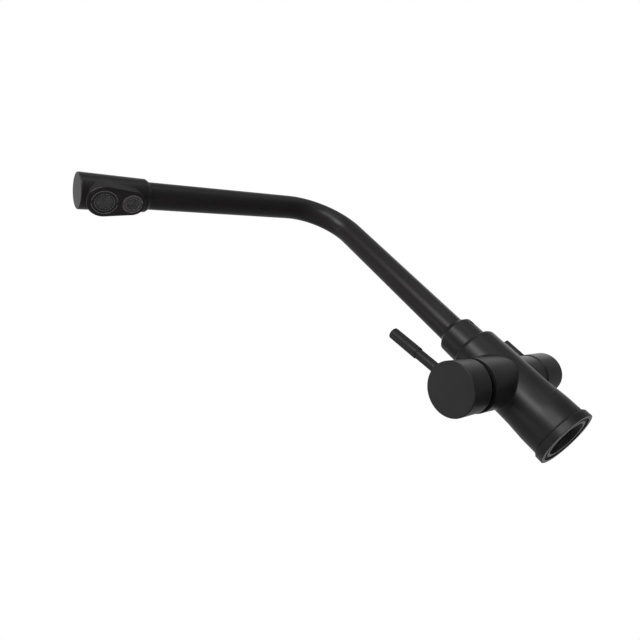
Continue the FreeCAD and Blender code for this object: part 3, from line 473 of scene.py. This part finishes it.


# Round trim: a toothed crown on each outlet insert, a thin black clamp that holds its screen, and
# a black bead in the corner between the base ring and the body, a dark piece put there as a painted
# shadow of the gap. Radii count from the axis of the node that carries the trim, and levels from
# its lowest one.

rims = {
    # painted shadow: a black bead standing in for the shade in the seam between base ring and body
    "baseSeamPaintedShadow": {
        "on": "base_ring", "body": "root", "slot": "black_rubber",
        "inner": 20.95, "outer": 21.65, "low": 5.20, "high": 6.10, "teeth": 0,
    },
    "mainInsertCrown": {
        "on": "main_aerator_insert", "body": "spout", "slot": "grey_screen",
        "inner": 6.62, "outer": 7.12, "low": -0.26, "high": 0.10, "teeth": 22,
    },
    "filterInsertCrown": {
        "on": "filter_aerator_insert", "body": "spout", "slot": "grey_screen",
        "inner": 4.60, "outer": 5.04, "low": -0.26, "high": 0.10, "teeth": 18,
    },
    "mainScreenClamp": {
        "on": "main_aerator_insert", "body": "spout", "slot": "black_aerator",
        "inner": 6.05, "outer": 6.64, "low": 0.0, "high": 0.20, "teeth": 0,
    },
    "filterScreenClamp": {
        "on": "filter_aerator_insert", "body": "spout", "slot": "black_aerator",
        "inner": 4.15, "outer": 4.54, "low": 0.0, "high": 0.20, "teeth": 0, "finish": "darkInsert",
    },
}
rimGrid = {"turns": 360, "section": 24, "square": 5.0, "bite": 0.33, "steep": 1.5}


def addRims(materials):
    # a rounded section whose underside rises by bite * (0.5 + steep * cos(teeth * turn)), held
    # between 0 and bite, which leaves the teeth
    turn, section = angles(rimGrid["turns"], 0), angles(rimGrid["section"], 1)
    for name, rim in rims.items():
        middle, _, _, face, _ = ringOf(rim["on"])
        wave = 0.5 + rimGrid["steep"] * np.cos(rim["teeth"] * turn)
        rise = rimGrid["bite"] * np.clip(wave, 0, 1) * (rim["teeth"] > 0)
        low = face + (rim["low"] + rise) * mm
        high = face + rim["high"] * mm
        inner, outer = rim["inner"] * mm, rim["outer"] * mm
        radius, height = roundedSection(section, inner, outer, low, high, rimGrid["square"])
        mesh = gridMesh(name, around(middle, turn, radius, height), loop=True)
        addPiece(mesh, rim["body"], rim["slot"], materials, rim.get("finish"))


# Key hole plug: a soft black plug that closes the hole over the cap's grub screw

plug = {
    "radius": 1.94, "sunk": 0.12, "dome": 0.10, "depth": 1.5, "turns": 48, "steps": 10,
    "along": (42.0, 67.0), "capRadius": (17.95, 18.30),      # the cap widens a little on its way
}


def addPlug(materials):
    # a profile turned about the hole's axis: height = face + dome * (1 - (reach / radius) ** 2)
    # over the top, then straight down the side to face - depth, and flat across the inner end
    screw = np.mean(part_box("cap_grub_screw"), 0) / mm
    axisLevel = np.mean(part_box("mixer_cap"), 0)[2] / mm
    outward = np.array([0.0, screw[1], screw[2] - axisLevel])
    outward = outward / np.linalg.norm(outward)
    along = np.array([1.0, 0.0, 0.0])
    face = np.interp(screw[0], plug["along"], plug["capRadius"]) - plug["sunk"] - plug["dome"]
    share = np.linspace(0, 1, plug["steps"])
    inner = face - plug["depth"]
    top = face + plug["dome"] * (1 - share ** 2)
    reach = np.concatenate([share, 1 + 0 * share, share[::-1]]) * plug["radius"]
    height = np.concatenate([top, face - plug["depth"] * share, inner + 0 * share])
    turn = angles(plug["turns"], 0)[:, :, None]
    sideways = np.cos(turn) * along + np.sin(turn) * np.cross(outward, along)
    foot = np.array([screw[0], 0.0, axisLevel])
    points = foot + height[None, :, None] * outward + reach[None, :, None] * sideways
    mesh = gridMesh("capHolePlug", points * mm, loop=True, ring=False)
    addPiece(mesh, "mixer_handle", "black_rubber", materials)


# Outlet screens: a plain weave of grey nylon thread across each outlet, held by its clamp. The
# reach is a share of the insert's radius. The pitch is coarser than a real one, so that it shows.

weave = {
    "mainOutletScreen": {"on": "main_aerator_insert", "reach": 0.905, "rise": 0.36},
    "filterOutletScreen": {"on": "filter_aerator_insert", "reach": 0.865, "rise": 0.36},
}
wire = {"pitch": 0.50, "radius": 0.10, "steps": 61, "sides": 6}


def addScreens(materials):
    # wire j lies at y = j * pitch, its height is radius * cos(pi * x / pitch + pi * j) and it ends
    # on the circle; the second family is the same turned a quarter, in the other phase
    pitch = wire["pitch"] * mm
    thick = wire["radius"] * mm
    side = angles(wire["sides"], 1)[None]
    for name, screen in weave.items():
        middle, _, outer, low, _ = ringOf(screen["on"])
        reach = outer * screen["reach"]
        count = int(reach / pitch)
        line = np.arange(-count, count + 1)[:, None, None]
        half = np.sqrt(reach ** 2 - (line * pitch) ** 2)
        along = half * np.linspace(-1, 1, wire["steps"])[None, :, None]
        swing = thick * np.cos(math.pi * along / pitch + math.pi * line)
        across = line * pitch + thick * np.cos(side)
        families = []
        for phase, flat in ((1, (along, across)), (-1, (across, along))):
            level = low + screen["rise"] * mm + phase * swing + thick * np.sin(side)
            families.append(np.stack(np.broadcast_arrays(
                middle[0] + flat[0], middle[1] + flat[1], level
            ), -1))
        mesh = gridMesh(name, np.concatenate(families))
        addPiece(mesh, "spout", "grey_screen", materials, "screenWeave")


# Threads: the ridges of the inner threads in the ports under the base

threads = {
    "coldInletThread": {"mount": "cold_inlet", "pitch": 1.0},
    "hotInletThread": {"mount": "hot_inlet", "pitch": 1.0},
    "filteredInletThread": {"mount": "filtered_inlet", "pitch": 1.0},
    "studThread": {"mount": "stud_hole", "pitch": 1.25},
}
ridge = {"height": 0.42, "width": 0.86, "sunk": 0.03, "clear": 0.5, "taper": 0.5, "steps": 48}


def addThreads(materials):
    # a three-cornered ridge on a helix: radius = bore - height * fade, level = foot + pitch *
    # (turn + clear), where fade rises from 0 to 1 over the first half turn and falls over the last
    mounts = {mount["name"]: mount for mount in frame["record"]["mounts"]}
    drop = np.array([-ridge["sunk"], ridge["height"], -ridge["sunk"]])[None, :] * mm
    edge = np.array([-0.5, 0.0, 0.5])[None, :]               # foot, crest and foot of the ridge
    for name, thread in threads.items():
        mount = mounts[thread["mount"]]
        bore = mount["dims"]["r_mm"] * mm
        pitch = thread["pitch"] * mm
        turns = mount["dims"]["length_mm"] / thread["pitch"] - 2 * ridge["clear"]
        turn = np.linspace(0, turns, int(turns * ridge["steps"]))[:, None]
        fade = np.clip(np.minimum(turn, turns - turn) / ridge["taper"], 0, 1)
        radius = bore - np.where(drop > 0, drop * fade, drop)
        level = mount["pos_m"][2] + pitch * (turn + ridge["clear"] + ridge["width"] * edge)
        points = around(mount["pos_m"], circle * turn, radius, level)
        addPiece(gridMesh(name, points), "root", "brass", materials)


# Stage: pale floor that fades into the white surroundings, world and lamps

stage = {
    "world": 0.08,           # light of the surroundings on the object; they are seen as white
    "floor": "#eeeeee",
    "glow": 0.45,            # share of plain white that eyes and mirrors see, the rest is lit
    "hole": 22.2,            # just inside the rim of the base
    "level": -0.05,          # a hair below the rim, so that the two never share a plane
    "full": 0.3,             # metres, the floor is whole up to here and fades out up to its radius
    "radius": 1.4,           # metres
    "turns": 128,
}

lamps = {                    # compass angle and height angle in degrees, size in metres, watts
    "frontSoftbox": {"azimuth": 30, "height": 20, "size": 0.5, "power": 12.9},
    "leftSoftbox": {"azimuth": 330, "height": 20, "size": 0.5, "power": 4.8},
    "lowSoftbox": {"azimuth": 270, "height": -30, "size": 0.5, "power": 3.2},
    "upSoftbox": {"azimuth": 40, "height": -40, "size": 0.5, "power": 0.8},
    "rearFill": {"azimuth": 215, "height": 30, "size": 0.7, "power": 5.0, "mattOnly": True},
    "barrelStrip": {"azimuth": 37, "height": 14, "size": 0.3, "power": 25.0, "glossOnly": True},
    "stripLight": {"azimuth": 60, "height": -5, "size": 0.5, "power": 25.0, "glossOnly": True},
    "sideStrip": {"azimuth": 90, "height": 20, "size": 0.5, "power": 4.5, "glossOnly": True},
    "backStrip": {"azimuth": 120, "height": 20, "size": 0.5, "power": 1.2, "glossOnly": True},
    "rearStrip": {"azimuth": 172, "height": 24, "size": 0.6, "power": 1.2, "glossOnly": True},
}
lampDistance = 1.2           # metres
lampAim = (0.08, 0.0, 0.15)  # metres


def addLamps():
    # each lamp faces the aim from its two angles: a glossOnly one shows in reflections alone, and a
    # mattOnly one shows in none
    for name, lamp in lamps.items():
        data = bpy.data.lights.new(name, "AREA")
        data.shape = "DISK"
        data.size = lamp["size"]
        data.energy = lamp["power"]
        made = bpy.data.objects.new(name, data)
        azimuth, height = math.radians(lamp["azimuth"]), math.radians(lamp["height"])
        flat = math.cos(height)
        away = Vector((flat * math.cos(azimuth), flat * math.sin(azimuth), math.sin(height)))
        made.location = Vector(lampAim) + away * lampDistance
        made.visible_diffuse = not lamp.get("glossOnly", False)
        made.visible_glossy = not lamp.get("mattOnly", False)
        made.rotation_mode = "QUATERNION"
        made.rotation_quaternion = away.to_track_quat("Z", "Y")
        bpy.context.scene.collection.objects.link(made)


def seenDirectly(tree):
    # 1 for the rays of the camera, of mirrors and of glass, 0 for the rays that light the object
    path = add(tree, "LightPath")
    seen = path.outputs["Is Camera Ray"]
    for name in ("Is Glossy Ray", "Is Transmission Ray"):
        links = [(0, seen), (1, path.outputs[name])]
        seen = add(tree, "Math", {"operation": "MAXIMUM"}, links).outputs[0]
    return seen


def floorMaterial():
    # pale matt floor, seen from above only, fading out with the distance from the base
    material = bpy.data.materials.new("paleMattFloor")
    material.use_nodes = True
    tree = material.node_tree
    tree.nodes.clear()
    place = add(tree, "TexCoord").outputs["Object"]
    away = axisDistance(tree, place, (0, 0))
    gone = add(tree, "MapRange", {
        "interpolation_type": "SMOOTHSTEP", "From Min": stage["full"], "From Max": stage["radius"],
    }, [("Value", away)]).outputs["Result"]
    below = add(tree, "NewGeometry").outputs["Backfacing"]
    shadow = add(tree, "LightPath").outputs["Is Shadow Ray"]
    for source in (below, shadow):
        gone = add(tree, "Math", {"operation": "MAXIMUM"}, [(0, gone), (1, source)]).outputs[0]
    glow = add(tree, "Math", {"operation": "MULTIPLY", 1: stage["glow"]}, [(0, seenDirectly(tree))])
    matt = add(tree, "BsdfDiffuse", {"Color": linear(stage["floor"])})
    white = add(tree, "Emission", {"Color": (1, 1, 1, 1), "Strength": 1.0})
    links = [(0, glow.outputs[0]), (1, matt.outputs[0]), (2, white.outputs[0])]
    pale = add(tree, "MixShader", {}, links)
    clear = add(tree, "BsdfTransparent")
    mix = add(tree, "MixShader", {}, [(0, gone), (1, pale.outputs[0]), (2, clear.outputs[0])])
    add(tree, "OutputMaterial", {}, [("Surface", mix.outputs[0])])
    return material


def addFloor():
    # a flat ring round the base: radius from the hole to the rim, height at the floor's level
    radius = np.array([stage["hole"] * mm, stage["radius"]])[None, :]
    points = around((0, 0), angles(stage["turns"], 0), radius, stage["level"] * mm)
    mesh = gridMesh("paleFloor", points, loop=True, ring=False)
    mesh.flip_normals()
    mesh.materials.append(floorMaterial())
    made = bpy.data.objects.new(mesh.name, mesh)
    bpy.context.scene.collection.objects.link(made)
    print("floor faces up:", mesh.polygons[0].normal.z > 0)


def addWorld():
    # white where it is seen directly, and dim where it lights the object
    world = bpy.data.worlds.new("whiteSurroundings")
    bpy.context.scene.world = world
    world.use_nodes = True
    tree = world.node_tree
    tree.nodes.clear()
    lit = {"To Min": stage["world"], "To Max": 1.0}
    strength = add(tree, "MapRange", lit, [("Value", seenDirectly(tree))]).outputs["Result"]
    glow = add(tree, "Background", {"Color": (1, 1, 1, 1)}, [("Strength", strength)])
    add(tree, "OutputWorld", {}, [("Surface", glow.outputs[0])])


def run():
    addCamera()
    print("camera stands where the photo was taken")
    materials = makeMaterials()
    dressNodes(materials)
    print("materials on", len(nodes), "nodes")
    addGasket(materials)
    addRims(materials)
    addPlug(materials)
    print("gasket, round trim and plug made")
    addScreens(materials)
    addThreads(materials)
    print("screens and threads made")
    addFloor()
    addWorld()
    addLamps()
    print("stage lit")
    bpy.context.scene.view_settings.view_transform = "Standard"


run()
